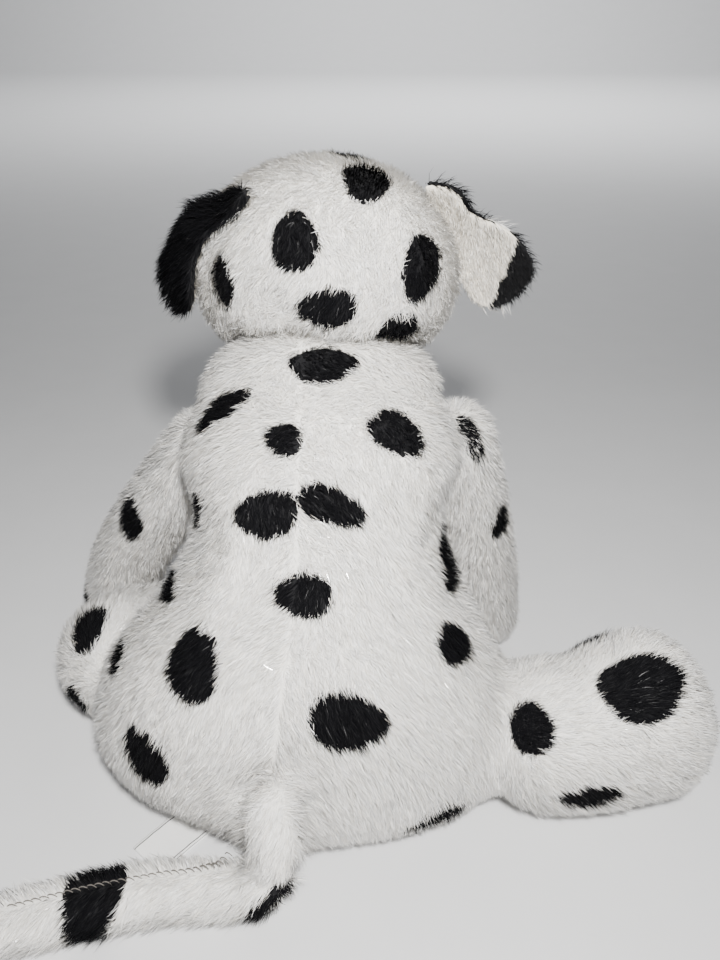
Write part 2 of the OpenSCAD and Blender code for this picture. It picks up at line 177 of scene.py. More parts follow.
def backing_material(name, low, high):
    """Knitted backing and short dense underfur, pale or black by the spot attribute."""
    made, tree, shader = new_material(name)
    spot = tree.nodes.new("ShaderNodeAttribute")
    spot.attribute_name = "spot"
    grain = noise_node(tree, 900, 3)
    fibre = ramp_node(tree, grain.outputs["Fac"], [(0.3, low), (0.7, high)])
    edge = tree.nodes.new("ShaderNodeMix")
    edge.data_type = "RGBA"
    ragged = tree.nodes.new("ShaderNodeMath")
    ragged.operation = "MULTIPLY_ADD"
    ragged.inputs[1].default_value = 0.5
    tree.links.new(grain.outputs["Fac"], ragged.inputs[0])
    tree.links.new(spot.outputs["Fac"], ragged.inputs[2])
    sharp = ramp_node(tree, ragged.outputs["Value"], [(0.66, (0, 0, 0)), (0.84, (1, 1, 1))])
    tree.links.new(sharp.outputs["Color"], edge.inputs["Factor"])
    tree.links.new(fibre.outputs["Color"], edge.inputs["A"])
    edge.inputs["B"].default_value = (*BLACK, 1)
    tree.links.new(edge.outputs["Result"], shader.inputs["Base Color"])
    bump_from(tree, shader, grain.outputs["Fac"], 0.5, 0.0006)
    set_inputs(shader, Roughness=0.8, Sheen_Weight=0.05, Specular_IOR_Level=0.2)
    return made


def fibre_tone(name, colour, roughness, sheen, specular=0.5):
    """One tone of the pile: each fibre has a single tone, and the mix of tones makes the grain."""
    made, _, shader = new_material(name)
    set_inputs(shader, Base_Color=(*colour, 1), Roughness=roughness, Sheen_Weight=sheen,
               Sheen_Roughness=0.35, Specular_IOR_Level=specular)
    return made


BACKING = backing_material("plush_backing", (0.70, 0.68, 0.64), WHITE)
# The pile's tones: 0 to 4 are white and 5 to 7 black, and the last of each catches the light
PILE = [
    fibre_tone("pile_white", (0.90, 0.885, 0.855), 0.50, 0.2),
    fibre_tone("pile_warm_white", (0.88, 0.855, 0.81), 0.55, 0.2),
    fibre_tone("pile_cool_white", (0.87, 0.87, 0.87), 0.50, 0.2),
    fibre_tone("pile_cream", (0.84, 0.80, 0.73), 0.55, 0.15),
    fibre_tone("pile_glint", (0.94, 0.93, 0.91), 0.14, 0.1, 1.0),
    fibre_tone("pile_black", (0.004, 0.004, 0.005), 0.85, 0.0, 0.06),
    fibre_tone("pile_soft_black", (0.006, 0.006, 0.007), 0.85, 0.0, 0.1),
    fibre_tone("pile_black_glint", (0.006, 0.006, 0.007), 0.40, 0.0, 0.3),
]
# The lining's tones: 0 to 2 are cream, and 3 is the outer cloth's black, wrapped round an edge
LINING_PILE = [
    fibre_tone("lining_cream", (0.84, 0.79, 0.70), 0.65, 0.3),
    fibre_tone("lining_pale", (0.88, 0.85, 0.79), 0.65, 0.3),
    fibre_tone("lining_shade", (0.76, 0.70, 0.60), 0.70, 0.3),
    fibre_tone("lining_edge_black", (0.005, 0.005, 0.006), 0.60, 0.0, 0.25),
]
LINING = backing_material("lining_knit", (0.72, 0.66, 0.56), (0.84, 0.79, 0.69))
FIBREFILL = mottled("fibrefill", (0.80, 0.80, 0.79), (0.93, 0.93, 0.92), 260, 0.9, 0.8,
                    Sheen_Weight=0.4)
POUCH = mottled("pouch_cloth", (0.74, 0.73, 0.69), (0.85, 0.84, 0.80), 1700, 0.85, 0.5)
WASHER = mottled("washer_plastic", (0.80, 0.80, 0.77), (0.86, 0.86, 0.83), 500, 0.45, 0.1)
EYE = mottled("eye_plastic", (0.006, 0.005, 0.005), (0.014, 0.010, 0.009), 300, 0.09, 0.01,
              Coat_Weight=0.6, Coat_Roughness=0.03)
NOSE = mottled("nose_plastic", (0.008, 0.008, 0.009), (0.016, 0.016, 0.018), 1500, 0.26, 0.12,
               Coat_Weight=0.3, Coat_Roughness=0.15)
THREAD = mottled("thread", (0.012, 0.012, 0.013), (0.04, 0.04, 0.044), 2600, 0.6, 0.5,
                 Sheen_Weight=0.2)
SEAM_THREAD = mottled("seam_thread", (0.10, 0.09, 0.08), (0.18, 0.165, 0.15), 2200, 0.7, 0.5)


def satin_material():
    """Woven satin: a very fine warp and weft, with a soft sheen."""
    made, tree, shader = new_material("label_satin")
    where = tree.nodes.new("ShaderNodeTexCoord")
    weave = tree.nodes.new("ShaderNodeTexWave")
    weave.inputs["Scale"].default_value = 900
    weave.inputs["Distortion"].default_value = 0.4
    tree.links.new(where.outputs["Object"], weave.inputs["Vector"])
    colours = ramp_node(tree, weave.outputs["Fac"],
                        [(0.0, (0.80, 0.80, 0.79)), (1.0, (0.90, 0.90, 0.89))])
    tree.links.new(colours.outputs["Color"], shader.inputs["Base Color"])
    bump_from(tree, shader, weave.outputs["Fac"], 0.2, 0.0001)
    set_inputs(shader, Roughness=0.32, Sheen_Weight=0.2)
    return made


SATIN = satin_material()
LABEL_BORDER = mottled("label_border", (0.03, 0.03, 0.035), (0.07, 0.07, 0.075), 2500, 0.5, 0.3)


# ---------------------------------------------------------------- mesh helpers
def unit(v):
    """Each vector at length one."""
    v = np.asarray(v, float)
    return v / np.maximum(np.linalg.norm(v, axis=-1, keepdims=True), 1e-12)


def object_from(name, points, faces, materials, tones=None):
    """A new mesh object. points are in millimetres, and tones is each face's material."""
    mesh = bpy.data.meshes.new(name)
    faces = [np.asarray(f, np.int32) for f in faces]
    sizes = np.concatenate([np.full(len(f), f.shape[1], np.int32) for f in faces])
    corners = np.concatenate([f.ravel() for f in faces])
    mesh.vertices.add(len(points))
    mesh.vertices.foreach_set("co", (np.asarray(points) * MM).astype(np.float32).ravel())
    mesh.loops.add(len(corners))
    mesh.loops.foreach_set("vertex_index", corners)
    mesh.polygons.add(len(sizes))
    mesh.polygons.foreach_set("loop_start", (np.cumsum(sizes) - sizes).astype(np.int32))
    for material in materials:
        mesh.materials.append(material)
    if tones is not None:
        mesh.polygons.foreach_set("material_index", np.asarray(tones, np.int32))
    mesh.polygons.foreach_set("use_smooth", np.ones(len(sizes), bool))
    mesh.update(calc_edges=True)
    made = bpy.data.objects.new(name, mesh)
    bpy.context.scene.collection.objects.link(made)
    return made


def read_mesh(mesh):
    """Points in millimetres, triangles and point normals of a mesh."""
    mesh.calc_loop_triangles()
    points = np.zeros(len(mesh.vertices) * 3, np.float32)
    triangles = np.zeros(len(mesh.loop_triangles) * 3, np.int32)
    mesh.vertices.foreach_get("co", points)
    mesh.loop_triangles.foreach_get("vertices", triangles)
    points, triangles = points.reshape(-1, 3).astype(float) / MM, triangles.reshape(-1, 3)
    a, b, c = (points[triangles[:, i]] for i in range(3))
    face_normal = np.cross(b - a, c - a)
    normals = np.zeros_like(points)
    for i in range(3):
        np.add.at(normals, triangles[:, i], face_normal)
    return points, triangles, unit(normals)


def write_points(mesh, points):
    mesh.vertices.foreach_set("co", (points * MM).astype(np.float32).ravel())
    mesh.update()


def smooth_shaded(made):
    mesh = made.data
    mesh.polygons.foreach_set("use_smooth", np.ones(len(mesh.polygons), bool))


def triangle_areas(points, triangles):
    a, b, c = (points[triangles[:, i]] for i in range(3))
    return np.linalg.norm(np.cross(b - a, c - a), axis=1) / 2


def surface_tree(points, triangles):
    """A search tree for the nearest place on a surface."""
    return BVHTree.FromPolygons(points.tolist(), triangles.tolist())


def point_tree(points):
    """A search tree for the nearest of some points."""
    tree = KDTree(len(points))
    for i, point in enumerate(points):
        tree.insert(point, i)
    tree.balance()
    return tree


def ball(centre, radius):
    """Points and triangles of a round filler, in millimetres."""
    rings, turns = 9, 16
    points = [centre + [0, 0, radius], centre - [0, 0, radius]]
    for i in range(1, rings):
        a = math.pi * i / rings
        for j in range(turns):
            b = 2 * math.pi * j / turns
            points.append(centre + radius * np.array([math.sin(a) * math.cos(b),
                                                      math.sin(a) * math.sin(b), math.cos(a)]))
    faces = []
    for j in range(turns):
        k = (j + 1) % turns
        faces.append([0, 2 + j, 2 + k])
        last = 2 + (rings - 2) * turns
        faces.append([1, last + k, last + j])
        for i in range(rings - 2):
            p, q = 2 + i * turns, 2 + (i + 1) * turns
            faces += [[p + j, q + j, q + k], [p + j, q + k, p + k]]
    return np.array(points), np.array(faces)


def evaluated(made):
    """The object's mesh with its modifiers applied, in place of the old one."""
    graph = bpy.context.evaluated_depsgraph_get()
    graph.update()
    mesh = bpy.data.meshes.new_from_object(made.evaluated_get(graph))
    made.modifiers.clear()
    made.data = mesh
    return made


def voxelled(made, voxel):
    """The object's mesh rebuilt as closed surfaces of even faces. Returns its points and triangles."""
    remesh = made.modifiers.new("remesh", "REMESH")
    remesh.mode, remesh.voxel_size = "VOXEL", voxel * MM
    evaluated(made)
    return read_mesh(made.data)[:2]


def relax(points, triangles, times, step_in=0.5, step_out=-0.515):
    """Evens a surface out: each point moves towards the mean of its neighbours, then back out."""
    pairs = np.concatenate([triangles[:, [0, 1]], triangles[:, [1, 2]], triangles[:, [2, 0]]])
    pairs = np.concatenate([pairs, pairs[:, ::-1]])
    count = np.maximum(np.bincount(pairs[:, 0], minlength=len(points)), 1)[:, None]
    for _ in range(times):
        for step in (step_in, step_out):
            total = np.stack([np.bincount(pairs[:, 0], points[pairs[:, 1], k], len(points))
                              for k in range(3)], axis=1)
            points = points + step * (total / count - points)
    return points


def swell(made, pressure, cap, frames=20):
    """The filling's pressure on a sewn skin, by cloth simulation, with its motion capped."""
    before = read_mesh(made.data)[0]
    cloth = made.modifiers.new("cloth", "CLOTH")
    cloth.settings.use_pressure = True
    cloth.settings.uniform_pressure_force = pressure
    cloth.settings.tension_stiffness = cloth.settings.compression_stiffness = 12
    cloth.settings.bending_stiffness = 1.5
    cloth.settings.effector_weights.gravity = 0
    cloth.collision_settings.use_collision = False
    for number in range(1, frames + 1):
        bpy.context.scene.frame_set(number)
    evaluated(made)
    bpy.context.scene.frame_set(1)
    moved = read_mesh(made.data)[0] - before
    length = np.linalg.norm(moved, axis=1, keepdims=True)
    return before + moved * np.minimum(1, cap / np.maximum(length, 1e-9))


def outermost(points, triangles):
    """The largest connected surface alone, without the inner faces of the cloth."""
    group = np.arange(len(points))
    while True:
        low = group[triangles].min(1)
        after = group.copy()
        for i in range(3):
            np.minimum.at(after, triangles[:, i], low)
        after = after[after]
        if (after == group).all():
            break
        group = after
    names, sizes = np.unique(group, return_counts=True)
    kept = group == names[sizes.argmax()]
    number = np.cumsum(kept) - 1
    return points[kept], number[triangles[kept[triangles[:, 0]]]]


def stands_for(made, body, slot, *nodes):
    """The piece rides on a body and stands in for some CAD nodes; slot is not used."""
    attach(made, body)
    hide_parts(*nodes)


LOWEST = 0.25  # height of the lowest skin above the table
PRESSURE = 4.0  # of the filling, in the cloth simulation
EVENING = 6  # rounds of relax() on a remeshed skin


def sewn_skin(name, nodes, body, voxel, shrink, cap, fillers=(), valleys=None):
    """One closed soft skin over some fabric panels, swollen by its filling. Returns the object.
    It starts shrink inside the panels and swells by up to cap. fillers are balls that close the
    panels' openings at the joints, and valleys gives the depth of the sewn seams."""
    points, triangles = [], []
    for p, t, _ in (read_mesh(bpy.data.objects[n].data) for n in nodes):
        triangles.append(t + sum(len(x) for x in points))
        points.append(p)
    for centre, radius in fillers:
        p, t = ball(np.asarray(centre, float), radius)
        triangles.append(t + sum(len(x) for x in points))
        points.append(p)
    made = object_from(name, np.concatenate(points), [np.concatenate(triangles)], [BACKING])
    p, t = outermost(*voxelled(made, voxel))
    bpy.data.objects.remove(made)
    made = object_from(name, relax(p, t, EVENING), [t], [BACKING])
    p, t, n = read_mesh(made.data)
    write_points(made.data, p - n * shrink)
    write_points(made.data, swell(made, PRESSURE, cap))
    divide = made.modifiers.new("divide", "SUBSURF")
    divide.levels = divide.render_levels = 1
    evaluated(made)
    p, t, n = read_mesh(made.data)
    if valleys is not None:
        p = p - n * valleys(p, n)[:, None]
    p[:, 2] = np.maximum(p[:, 2], LOWEST)
    write_points(made.data, p)
    smooth_shaded(made)
    stands_for(made, body, "spotted_plush", *nodes)
    return made


# ---------------------------------------------------------------- markings
def waves(points, scale, seed, terms=7):
    """Smooth random values about -1 to 1 at each point; scale is their size in millimetres."""
    rng = np.random.default_rng(seed)
    total = np.zeros(len(points))
    for _ in range(terms):
        total += np.sin(points @ (unit(rng.normal(size=3)) * 2 * math.pi / scale
                                  * rng.uniform(0.6, 1.5)) + rng.uniform(0, 2 * math.pi))
    return total / math.sqrt(terms / 2) / 1.6


SPOT_GROWTH, SPOT_MARGIN = 1.1, 0.7  # the pile's tips carry a spot past its size on the cloth


def place_spots(skin, spots):
    """Moves each spot's centre onto the skin and gives it the skin's axes there. A spot is the
    x, y and z of its middle, its half width, its half height and its tilt in degrees."""
    points, _, normals = skin
    placed = []
    for x, y, z, wide, high, tilt in spots:
        i = int(((points - [x, y, z]) ** 2).sum(1).argmin())
        normal = normals[i]
        across = np.array([1.0, 0, 0]) if abs(normal[0]) < 0.93 else np.array([0, -1.0, 0])
        across = unit(across - normal * (across @ normal))
        up = np.cross(normal, across)
        up = up if up[2] > 0 or abs(up[2]) < 0.2 and up[1] > 0 else -up
        a = math.radians(tilt)
        placed.append((points[i], across * math.cos(a) + up * math.sin(a),
                       up * math.cos(a) - across * math.sin(a), normal,
                       wide * SPOT_GROWTH + SPOT_MARGIN, high * SPOT_GROWTH + SPOT_MARGIN))
    return placed


def spot_distance(points, placed):
    """How far outside the nearest spot's edge each point is, in millimetres; negative inside."""
    best = np.full(len(points), 99.0)
    for number, (centre, across, up, normal, wide, high) in enumerate(placed):
        d = points - centre
        a, b = d @ across / wide, d @ up / high
        r = np.sqrt(a * a + b * b + (d @ normal / (1.5 * max(wide, high))) ** 2)
        turn = np.arctan2(b, a)
        edge = (1 + 0.05 * np.sin(2 * turn + number * 1.7) + 0.05 * np.sin(3 * turn + number * 2.9)
                + 0.02 * np.sin(5 * turn + number))
        best = np.minimum(best, (r - edge) * min(wide, high))
    return best


def mark_skin(made, placed):
    """Writes the spot attribute that turns a skin's backing black."""
    points = read_mesh(made.data)[0]
    value = np.clip(0.5 - spot_distance(points, placed) / 2.0, 0, 1)
    attribute = made.data.attributes.new("spot", "FLOAT", "POINT")
    attribute.data.foreach_set("value", value.astype(np.float32))


# ---------------------------------------------------------------- pile
FIBRES_A_PIECE = 60000
FLOOR_GAP = 0.3  # height of the lowest fibre above the table


def grow(name, skin, body, keep, comb, spots, density=4.0, length=4.3, lift=33, spread=0.20,
         width=0.22, seed=1, tones=PILE, long_at=None, all_black=False, clump=2.6,
         dark=None):
    """Pile on part of a skin. keep gives each face's share of the density, which is in fibres a
    square millimetre, comb gives the lie of the fibres, and long_at their length and how far they
    stand up. Each fibre is a bent two-part blade that narrows to a point."""
    points, triangles, normals = skin
    rng = np.random.default_rng(seed)
    a, b, c = (points[triangles[:, i]] for i in range(3))
    centre, facing = (a + b + c) / 3, unit(np.cross(b - a, c - a))
    size = triangle_areas(points, triangles) * keep(centre, facing)
    count = int(size.sum() * density)
    pick = rng.choice(len(size), count, p=size / size.sum())
    u, v = rng.random((2, count, 1))
    u, v = np.where(u + v > 1, 1 - u, u), np.where(u + v > 1, 1 - v, v)
    share = [1 - u - v, u, v]
    root = sum(s * points[triangles[pick, i]] for i, s in enumerate(share))
    normal = unit(sum(s * normals[triangles[pick, i]] for i, s in enumerate(share)))

    # tufts: fibres of one tuft share a lean and draw together at their tips
    tufts = root[rng.choice(count, max(1, int(size.sum() / clump ** 2)), replace=False)]
    tree = point_tree(tufts)
    tuft = np.array([tree.find(p)[1] for p in root], int)
    lean, taller = rng.normal(size=(len(tufts), 3)), rng.normal(size=len(tufts))

    lie = comb(root, normal)
    lie = lie + 0.15 * lean[tuft] + spread * rng.normal(size=(count, 3))
    lie = unit(lie - normal * (lie * normal).sum(1, keepdims=True))
    rise = np.radians(np.clip(lift + 4 * taller[tuft] + rng.normal(0, 8, count), 6, 80))[:, None]
    long = length * (1 + 0.06 * taller[tuft] + rng.normal(0, 0.13, count))
    if long_at is not None:
        factor, stand = long_at(root, normal)
        long = long * factor
        rise = rise * stand[:, None]
    long = np.maximum(long, 0.6)[:, None]
    low = np.where((root[:, 2:3] < 2.5) & (normal[:, 2:3] < -0.5), 0.45, 1)
    long, rise = long * low, rise * low

    first = root - normal * 0.25
    middle = root + long * 0.5 * (normal * np.sin(rise * 1.25) + lie * np.cos(rise * 1.25))
    tip = middle + long * 0.5 * (normal * np.sin(rise * 0.7) + lie * np.cos(rise * 0.7))
    gather = tufts[tuft] - root
    gather = gather - normal * (gather * normal).sum(1, keepdims=True)
    middle, tip = middle + gather * 0.08, tip + gather * 0.20
    side = unit(np.cross(lie, normal))
    twist = rng.normal(0, 0.5, (count, 1))
    side = side * np.cos(twist) + np.cross(side, unit(tip - root)) * np.sin(twist)
    luck = rng.random(count)
    half = width / 2 * (rng.uniform(0.8, 1.2, count) * np.where(luck > 0.94, 0.6, 1))[:, None]
    blade = np.stack([first - side * half, first + side * half, middle + side * half * 0.8,
                      middle - side * half * 0.8, tip], axis=1)
    blade[:, :, 2] = np.maximum(blade[:, :, 2], FLOOR_GAP)

    if tones is PILE:
        inside = np.full(count, all_black)
        if spots:
            inside |= spot_distance(root * 0.5 + tip * 0.5, spots) < rng.normal(0, 0.4, count)
        tone = np.select([luck < 0.42, luck < 0.64, luck < 0.82, luck < 0.94], [0, 1, 2, 3], 4)
        tone = np.where(inside, np.select([luck < 0.6, luck < 0.9], [5, 6], 7), tone)
    else:
        tone = np.select([luck < 0.4, luck < 0.85], [0, 1], 2)
        tone = np.where(dark(root, normal), 3, tone)
    parts = np.array_split(root[:, 0].argsort(kind="stable"), math.ceil(count / FIBRES_A_PIECE))
    for number, part in enumerate(parts, 1):
        start = np.arange(len(part))[:, None] * 5
        made = object_from(f"{name}_{number}", blade[part].reshape(-1, 3),
                           [start + np.array([0, 1, 2, 3]), start + np.array([3, 2, 4])], tones,
                           np.concatenate([tone[part], tone[part]]))
        # the fibres are shaded mostly as the skin under them, so that the body's form shows
        shade = unit(normal[part] * 0.8 + 0.25 * rng.normal(size=(len(part), 3)))
        made.data.normals_split_custom_set_from_vertices(np.repeat(shade, 5, axis=0))
        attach(made, body)


def seen(centre, facing):
    """Full density on what shows from behind and above, less on the front and underneath."""
    thick = np.clip(0.75 - 0.6 * facing[:, 1] + 0.4 * facing[:, 2], 0.45, 1)
    return np.where((centre[:, 2] < 2.5) & (facing[:, 2] < -0.7), 0.12, thick)


# ---------------------------------------------------------------- torso
SEAM = ([25, 45, 70, 95, 135], [-14, -13.5, -10, -6, -5.5])  # height, x of the back seam


def seam_x(z):
    """The back seam's place at some heights."""
    return np.interp(z, *SEAM)


def torso_valleys(p, n):
    """Depth of the sewn valley of the back, in millimetres."""
    off = p[:, 0] - seam_x(p[:, 2])
    return 0.45 * np.exp(-(off / 2.5) ** 2) * np.clip(-n[:, 1] * 3, 0, 1)


torso = sewn_skin("torso_skin", ["back_panel_left", "back_panel_right", "belly_panel"], "torso",
                  voxel=3.4, shrink=1.6, cap=2.2, valleys=torso_valleys,
                  fillers=[(ARM_L, 14), (ARM_R, 14), (LEG_L + [6, 0, 0], 24),
                           (LEG_R - [4, 0, 0], 25), (TAIL, 7)])
torso_surface = read_mesh(torso.data)
TORSO_SPOTS = place_spots(torso_surface, [
    # the back and sides
    (1, 20, 150, 9.5, 5.5, -4), (-32, 15, 137, 9, 4.6, 22), (-10, -1, 133, 5, 4.5, 0),
    (26, 4, 133, 9.2, 6, -22), (-15.5, -15, 114, 8.5, 6.5, 0), (4.5, -15, 117, 9.3, 4.8, -20),
    (-3, -30, 95, 8, 5.5, 0), (44, -5, 92, 6, 11, 14), (-41, 1, 106, 4, 6, 0),
    (44, -26, 72, 7.5, 5.8, -8), (-38, -37, 73, 8, 10, -12), (10, -49, 61, 11, 7.8, -24),
    (40, -48, 15, 9.5, 4.5, 0), (-56, -43, 39, 8.5, 8, -20), (-68, -19, 60, 4, 6, 0),
    (-52, -8, 82, 4, 8, 30),
    # the chest and belly, and a spot that runs onto the right hind leg
    (-20, 46, 92, 9, 7, 20), (22, 50, 78, 8, 9, -15), (-32, 44, 52, 10, 7, 10),
    (12, 44, 40, 8, 10, 0), (70, -36, 45, 5.7, 7.5, 0), (48, 26, 46, 9, 8, 20),
    (0, 56, 118, 6, 5, 0), (36, 36, 104, 5, 7, 0),
])
mark_skin(torso, TORSO_SPOTS)


def torso_comb(p, n):
    """Down the body, and away from the back seam to both sides, most of all low down."""
    off = p[:, 0] - seam_x(p[:, 2])
    low = np.clip((70 - p[:, 2]) / 40, 0, 1)
    near = np.exp(-np.abs(off) / 13) * np.clip(-n[:, 1] * 2, 0, 1)
    lie = np.zeros_like(p)
    lie[:, 2] = -1 + near * (0.2 + 0.6 * low)
    lie[:, 0] = np.sign(off) * near * (0.5 + 1.1 * low) + 0.25 * np.tanh(off / 40)
    lie[:, 0] += 0.40 * waves(p, 46, 3)
    lie[:, 1] += 0.30 * waves(p, 46, 4)
    lie[:, 2] += 0.30 * waves(p, 40, 5)
    return lie


def torso_long(p, n):
    """Longer beside the back seam low down, where the pile was teased out of the stitches."""
    off = np.abs(p[:, 0] - seam_x(p[:, 2]))
    back = np.clip(-n[:, 1] * 2, 0, 1)
    low = np.clip((75 - p[:, 2]) / 40, 0, 1)
    near = np.exp(-(off / 12) ** 2) * back
    long = 1 + near * (0.1 + 1.1 * low) - 0.15 * back * np.exp(-(off / 0.9) ** 2)
    by_label = np.linalg.norm(p[:, :2] - pivot("care_label_flap")[:2], axis=1)
    return long * np.where(p[:, 2] < 22, np.interp(by_label, [9, 17], [0.3, 1]), 1), 1 + 0.1 * near


grow("torso_pile", torso_surface, "torso", seen, torso_comb, TORSO_SPOTS, seed=11,
     long_at=torso_long)

# ---------------------------------------------------------------- head
NOSE_AT = node_box("nose").mean(0)
EYES = [node_box(node).mean(0) for node in ("eye_left", "eye_right")]
head = sewn_skin("head_skin", ["head_side_left", "head_side_right", "head_gusset", "chin_panel"],
                 "head", voxel=3.2, shrink=1.4, cap=1.3)
head_surface = read_mesh(head.data)
HEAD_SPOTS = place_spots(head_surface, [
    (16, 48, 203, 6.8, 9.5, 0), (-7, 30, 186, 6.2, 8.7, 0), (35.5, 33, 178, 6.8, 9.5, -25),
    (-32, 37, 171, 4.5, 7.2, 8), (4, 24, 167, 8.2, 5.3, 0), (26, 29, 155, 6, 5.2, 0),
    (EYES[1][0] + 3, EYES[1][1] - 4, EYES[1][2] + 2, 11, 12, 10), (-14, 92, 190, 6, 5, 20),
    (-24, 96, 150, 5, 5, 0), (40, 84, 150, 6, 5, 15), (10, 70, 205, 5, 6, 0),
])
mark_skin(head, HEAD_SPOTS)


def head_comb(p, n):
    """Back from the nose over the crown and cheeks, then down the nape."""
    lie = unit(p - NOSE_AT) + np.array([0, 0, -0.55])
    lie[:, 0] += 0.35 * waves(p, 40, 21)
    lie[:, 2] += 0.3 * waves(p, 36, 22)
    return lie


def head_long(p, n):
    """Short on the muzzle and round the eyes and nose."""
    from_nose = np.linalg.norm(p - NOSE_AT, axis=1)
    length = np.interp(from_nose, [0, 12, 45, 75], [0.25, 0.45, 0.7, 1.0])
    for eye in EYES:
        length = np.minimum(length, np.interp(np.linalg.norm(p - eye, axis=1), [6, 14], [0.3, 1]))
    return length, np.ones(len(p))


def off_the_eyes(c, f):
    """No pile where the eyes and the nose sit."""
    clear = np.ones(len(c))
    for eye in EYES:
        clear = clear * (np.linalg.norm(c - eye, axis=1) > 6.3)
    return clear * (np.linalg.norm(c - NOSE_AT, axis=1) > 5.5)


grow("head_pile", head_surface, "head", lambda c, f: off_the_eyes(c, f) * seen(c, f),
     head_comb, HEAD_SPOTS, seed=21, long_at=head_long, density=4.3)

# ---------------------------------------------------------------- limbs
def along(start, end):
    """Comb from one point towards another, with small waves."""
    way = unit(np.asarray(end, float) - np.asarray(start, float))

    def comb(p, n):
        lie = np.tile(way, (len(p), 1))
        lie[:, 0] += 0.3 * waves(p, 34, 31)
        lie[:, 2] += 0.3 * waves(p, 34, 32) - 0.15
        return lie
    return comb


def limb(body, nodes, root, spots, seed):
    """A leg's skin and pile, combed from its root to the paw."""
    skin = sewn_skin(body + "_skin", nodes, body, voxel=2.8, shrink=1.4, cap=1.5)
    surface = read_mesh(skin.data)
    far = surface[0][np.linalg.norm(surface[0] - root, axis=1).argmax()]
    placed = place_spots(surface, spots)
    mark_skin(skin, placed)
    grow(body + "_pile", surface, body, seen, along(root, far), placed, seed=seed)


limb("front_leg_left", ["front_leg_left_outer", "front_leg_left_inner"], ARM_L, [
    (-76, 45, 74, 5.5, 8, -12), (-90, 84, 50, 7, 6, 10), (-60, 66, 86, 5, 7, 0),
    (-104, 72, 18, 6, 5, 0)], 41)
limb("front_leg_right", ["front_leg_right_outer", "front_leg_right_inner"], ARM_R, [
    (53, 32, 117, 3, 8, 30), (68, 41, 76, 4, 7, 0), (64, 70, 60, 7, 6, 0),
    (72, 76, 24, 6, 6, 10)], 42)
limb("hind_leg_left", ["hind_leg_left_upper", "hind_leg_left_lower"], LEG_L, [
    (-90, 13, 47, 6, 8.5, 0), (-95, 2, 19, 4, 7, 0), (-48, 98, 26, 9, 8, 0),
    (-66, 60, 34, 5, 6, 0)], 43)
limb("hind_leg_right", ["hind_leg_right_upper", "hind_leg_right_lower"], LEG_R, [
    (106, -29, 57, 12.5, 10, 4), (70, -36, 45, 5.7, 7.5, 0), (89, -47, 24, 9, 4.6, 10),
    (130, -18, 34, 9, 10, 0), (96, 2, 48, 8, 7, 0)], 44)

# ---------------------------------------------------------------- tail
tail = sewn_skin("tail_skin_soft", ["tail_skin"], "tail", voxel=2.2, shrink=1.2, cap=0.8)
tail_surface = read_mesh(tail.data)
TAIL_SPOTS = place_spots(tail_surface, [(-68, -75, 16, 7.6, 13, 0), (-13, -79, 13, 9, 3.4, 40),
                                        (-30, -60, 5, 5, 3, 0)])
mark_skin(tail, TAIL_SPOTS)
TAIL_WAY = np.array([TAIL, [-12, -68, 26], [-16, -70, 14], [-29, -69, 9], [-48, -69, 8.4],
                     [-72, -74, 8.4], [-99, -82, 8.4]])
TAIL_UP = np.array([0.3, 0.2, 0.93])  # the way that the closing seam faces


def tail_line():
    """Closely spaced points along the middle of the tail."""
    keys = np.arange(len(TAIL_WAY))
    fine = np.linspace(0, len(TAIL_WAY) - 1, 70)
    line = np.stack([np.interp(fine, keys, TAIL_WAY[:, k]) for k in range(3)], axis=1)
    for _ in range(6):
        line[1:-1] = (line[:-2] + 2 * line[1:-1] + line[2:]) / 4
    return line


def tail_frame(p):
    """The tail's own direction beside each point, and how far it is across from the top seam."""
    fine = tail_line()
    nearest = np.array([((fine - q) ** 2).sum(1).argmin() for q in p])
    nearest = np.clip(nearest, 1, len(fine) - 2)
    way = unit(fine[nearest + 1] - fine[nearest - 1])
    across = unit(np.cross(way, TAIL_UP))
    return way, across, ((p - fine[nearest]) * across).sum(1)


def tail_comb(p, n):
    """Towards the tip, and feathered out to both sides from the seam on top."""
    way, across, off = tail_frame(p)
    top = np.clip(n[:, 2] + 0.3, 0, 1)[:, None]
    return way * 0.8 + across * np.sign(off)[:, None] * top * 1.1


def tail_long(p, n):
    """Short on the seam, and longer towards the sides."""
    off = np.abs(tail_frame(p)[2])
    return np.interp(off, [0, 1.2, 5, 9], [0.55, 1.0, 1.25, 1.6]), np.full(len(p), 0.8)


grow("tail_pile", tail_surface, "tail", seen, tail_comb, TAIL_SPOTS, seed=51, long_at=tail_long,
     density=4.3)


